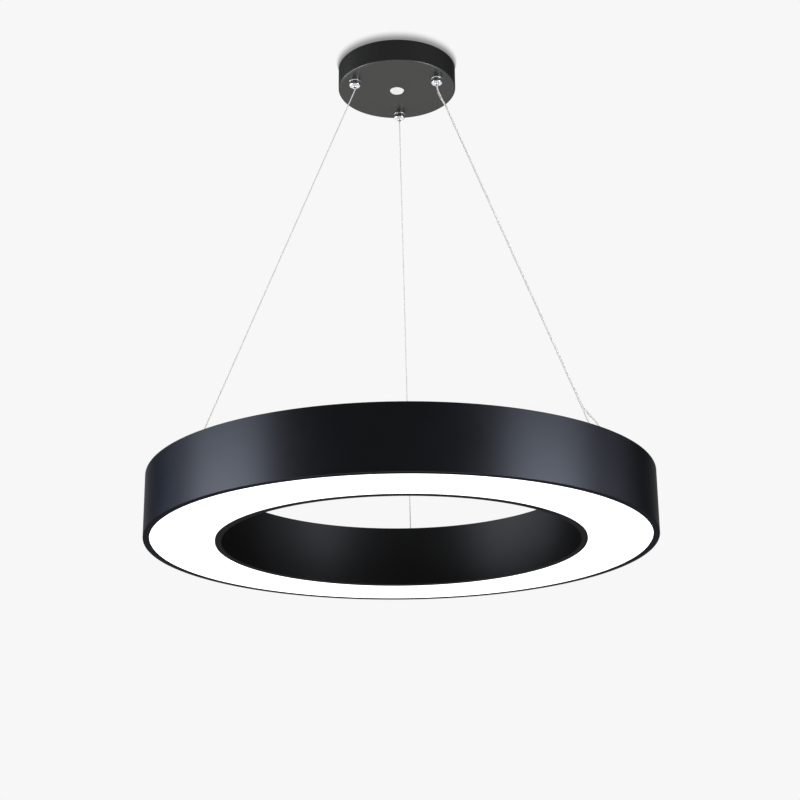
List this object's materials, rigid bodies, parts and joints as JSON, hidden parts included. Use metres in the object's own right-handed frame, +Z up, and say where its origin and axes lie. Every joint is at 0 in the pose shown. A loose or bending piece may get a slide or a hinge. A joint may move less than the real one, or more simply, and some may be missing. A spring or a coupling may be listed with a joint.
{
  "type": "led ring pendant",
  "caption": "Square-section ring pendant lamp with a glowing opal underside, hung on splayed steel wires with chromed wire grippers from a round ceiling canopy.",
  "frame": {"origin": "on the ceiling plane, midway between the two slots of the ceiling bracket, on the lamp's axis", "axes": "+Z up out of the ceiling bracket, +Y towards the rear wire, +X towards the terminal block"},
  "size_m": [0.6, 0.6, 0.63],
  "materials": {
    "black_painted_aluminium": "satin",
    "black_painted_steel": "satin",
    "zinc_plated_steel": "satin",
    "bare_aluminium": "satin",
    "chrome": "polished",
    "spring_steel": "polished",
    "wire_steel": "satin",
    "clear_cable": "gloss",
    "white_plastic": "satin",
    "terminal_plastic": "matte",
    "brass": "satin",
    "opal_acrylic": "satin",
    "led_board_white": "satin",
    "led_phosphor": "gloss",
    "black_plastic": "satin",
    "black_rubber": "matte"
  },
  "bodies": {
    "canopy": {"bracket_screws": "zinc_plated_steel", "cable_grommet": "black_rubber", "canopy_cup": "black_painted_steel", "canopy_side_screws": "black_painted_steel", "ceiling_bracket": "zinc_plated_steel", "centre_plug": "white_plastic", "driver_connector": "white_plastic", "earth_screw": "zinc_plated_steel", "gripper_barrel_left": "chrome", "gripper_barrel_rear": "chrome", "gripper_barrel_right": "chrome", "gripper_nuts": "zinc_plated_steel", "gripper_stem_left": "chrome", "gripper_stem_rear": "chrome", "gripper_stem_right": "chrome", "gripper_washers": "zinc_plated_steel", "led_driver": "white_plastic", "power_cable": "clear_cable", "release_spring_left": "spring_steel", "release_spring_rear": "spring_steel", "release_spring_right": "spring_steel", "suspension_wire_left": "wire_steel", "suspension_wire_rear": "wire_steel", "suspension_wire_right": "wire_steel", "terminal_block": "terminal_plastic", "terminal_screws": "brass", "wire_tail_stops": "wire_steel"},
    "ring": {"outer_band": "black_painted_aluminium", "inner_band": "black_painted_aluminium", "top_cover": "black_painted_aluminium", "cover_screws": "black_painted_steel", "cross_braces": "zinc_plated_steel", "led_tray": "bare_aluminium", "tray_screws": "zinc_plated_steel", "led_boards": "led_board_white", "led_chips": "led_phosphor", "board_connectors": "white_plastic", "diffuser": "opal_acrylic", "wire_anchors": "chrome", "anchor_nuts": "zinc_plated_steel", "wire_end_ferrules": "wire_steel", "cable_gland": "black_plastic", "gland_nut": "zinc_plated_steel", "ring_connector": "white_plastic"},
    "release_rear": {"release_nozzle_rear": "chrome", "gripper_balls_rear": "spring_steel"},
    "release_left": {"release_nozzle_left": "chrome", "gripper_balls_left": "spring_steel"},
    "release_right": {"release_nozzle_right": "chrome", "gripper_balls_right": "spring_steel"}
  },
  "joints": [
    {"name": "ring_height", "type": "slide", "parent": "canopy", "child": "ring", "axis": [0, 0, 1], "range_m": [0, 0.3], "deforming": ["suspension_wire_rear", "suspension_wire_left", "suspension_wire_right", "power_cable"]},
    {"name": "release_rear_push", "type": "slide", "parent": "canopy", "child": "release_rear", "axis": [0, 0, 1], "range_m": [0, 0.0025], "stiffness_N_per_m": 800, "springref_m": -0.002, "deforming": ["release_spring_rear"]},
    {"name": "release_left_push", "type": "slide", "parent": "canopy", "child": "release_left", "axis": [0, 0, 1], "range_m": [0, 0.0025], "stiffness_N_per_m": 800, "springref_m": -0.002, "deforming": ["release_spring_left"]},
    {"name": "release_right_push", "type": "slide", "parent": "canopy", "child": "release_right", "axis": [0, 0, 1], "range_m": [0, 0.0025], "stiffness_N_per_m": 800, "springref_m": -0.002, "deforming": ["release_spring_right"]}
  ]
}
